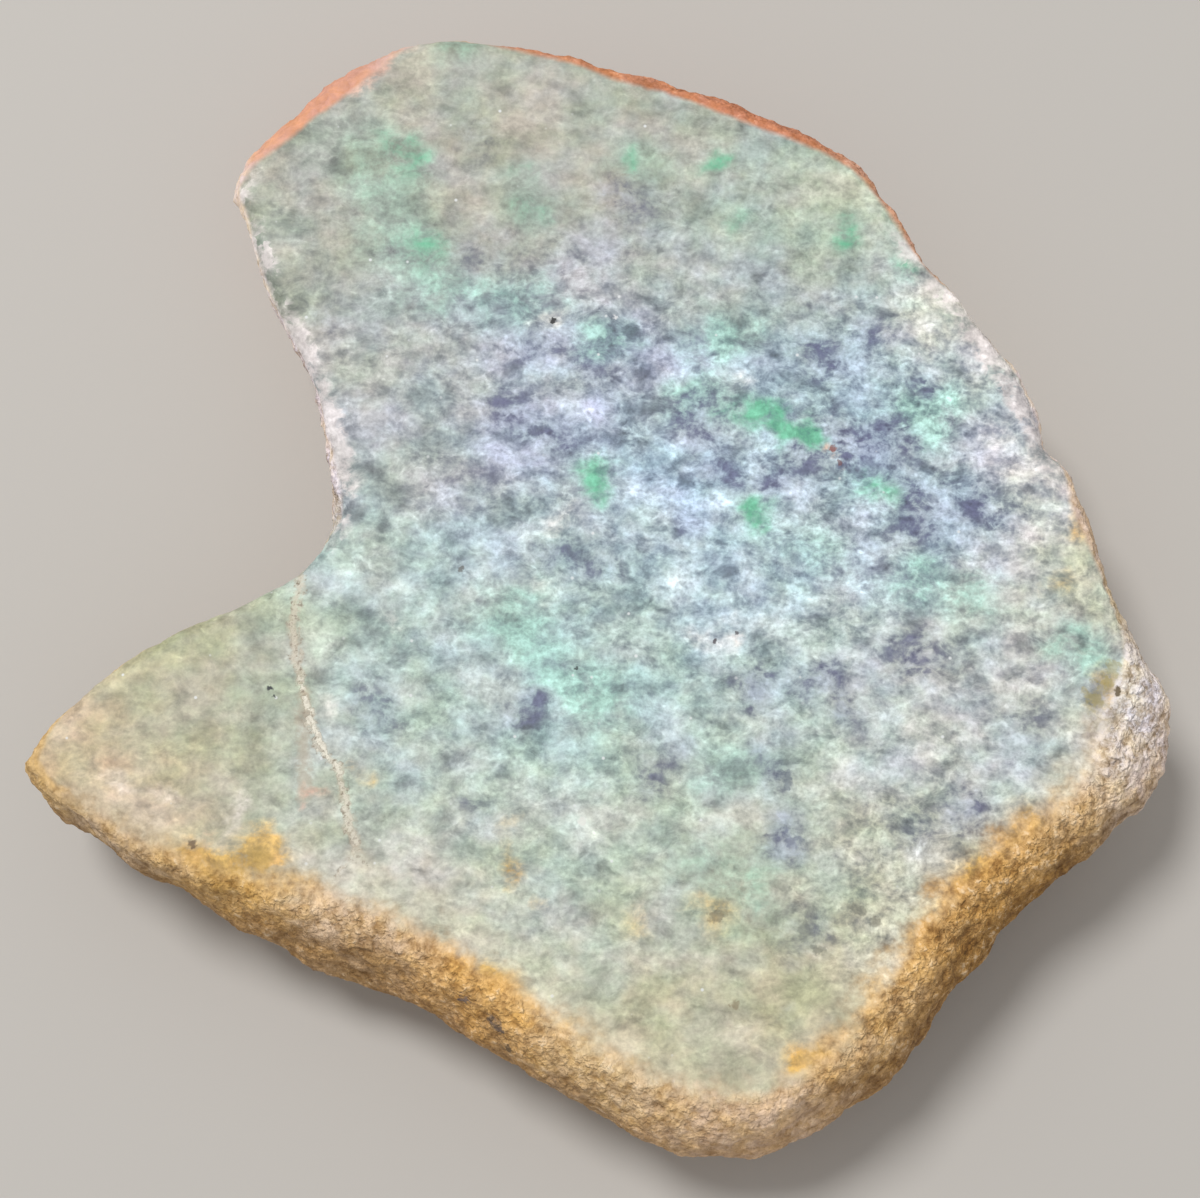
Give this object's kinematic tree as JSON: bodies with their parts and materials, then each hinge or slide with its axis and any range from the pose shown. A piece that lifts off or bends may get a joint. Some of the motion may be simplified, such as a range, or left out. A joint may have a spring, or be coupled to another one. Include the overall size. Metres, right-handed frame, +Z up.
{
  "type": "sawn piece of raw jade boulder",
  "caption": "Sawn and ground piece of a raw jade boulder: flat mottled face, weathered rind on the sides, notched west side and a pointed wing.",
  "frame": {"origin": "centre of the bounding box in plan, at the level the stone lies on", "axes": "+Z up, out of the cut face; +Y to the edge with the thin orange skin; +X to the rounded granular lobe, away from the notch"},
  "size_m": [0.156, 0.1556, 0.028],
  "materials": {
    "jade": "ground flat face with a soft sheen, matt granular rind"
  },
  "bodies": {
    "root": {"jade_boulder": "jade"}
  },
  "joints": []
}
